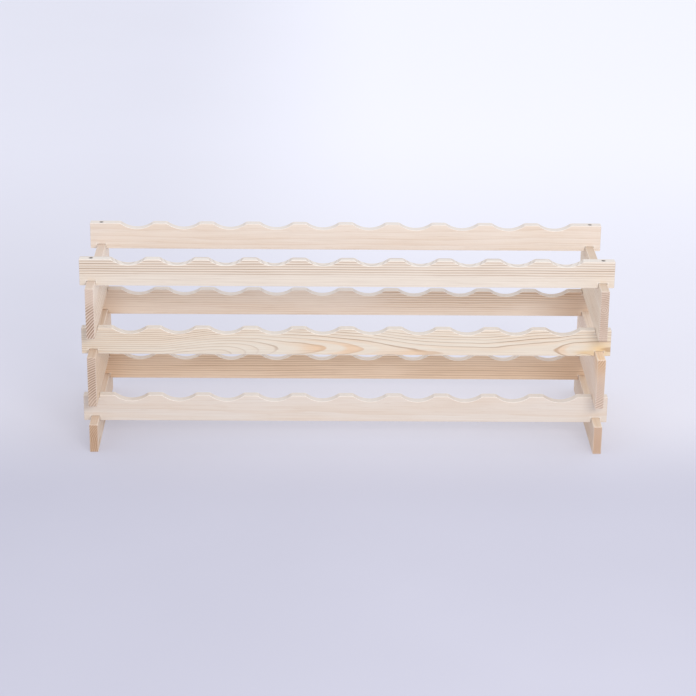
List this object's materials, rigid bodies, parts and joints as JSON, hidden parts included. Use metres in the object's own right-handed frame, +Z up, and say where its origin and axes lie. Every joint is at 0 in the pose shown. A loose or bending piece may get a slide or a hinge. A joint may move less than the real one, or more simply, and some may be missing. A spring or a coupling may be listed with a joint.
{
  "type": "wine rack",
  "caption": "Low stackable pine wine rack: scalloped front and rear rails notched over cross boards, in tiers that lift off one another.",
  "frame": {"origin": "on the floor, under the middle of the rack", "axes": "+X to the right along the rails, +Y towards the back, +Z up"},
  "size_m": [0.99, 0.322, 0.3675],
  "materials": {
    "rail_pine": "planed and sanded, unfinished pale pine",
    "board_pine": "planed and sanded, unfinished pale pine with open end grain",
    "screw_black": "black phosphate"
  },
  "bodies": {
    "bottom_tier": {"foot_left": "board_pine", "foot_right": "board_pine", "bottom_rail_front": "rail_pine", "bottom_rail_rear": "rail_pine", "bottom_screw_front_left": "screw_black", "bottom_screw_front_right": "screw_black", "bottom_screw_rear_left": "screw_black", "bottom_screw_rear_right": "screw_black"},
    "middle_tier": {"lower_side_left": "board_pine", "lower_side_right": "board_pine", "middle_rail_front": "rail_pine", "middle_rail_rear": "rail_pine", "middle_screw_front_left": "screw_black", "middle_screw_front_right": "screw_black", "middle_screw_rear_left": "screw_black", "middle_screw_rear_right": "screw_black"},
    "top_tier": {"upper_side_left": "board_pine", "upper_side_right": "board_pine", "top_rail_front": "rail_pine", "top_rail_rear": "rail_pine", "top_screw_front_left": "screw_black", "top_screw_front_right": "screw_black", "top_screw_rear_left": "screw_black", "top_screw_rear_right": "screw_black"}
  },
  "joints": [
    {"name": "middle_tier_lift", "type": "slide", "parent": "bottom_tier", "child": "middle_tier", "axis": [0, 0, 1], "range_m": [0, 0.12]},
    {"name": "top_tier_lift", "type": "slide", "parent": "middle_tier", "child": "top_tier", "axis": [0, 0, 1], "range_m": [0, 0.12]}
  ]
}
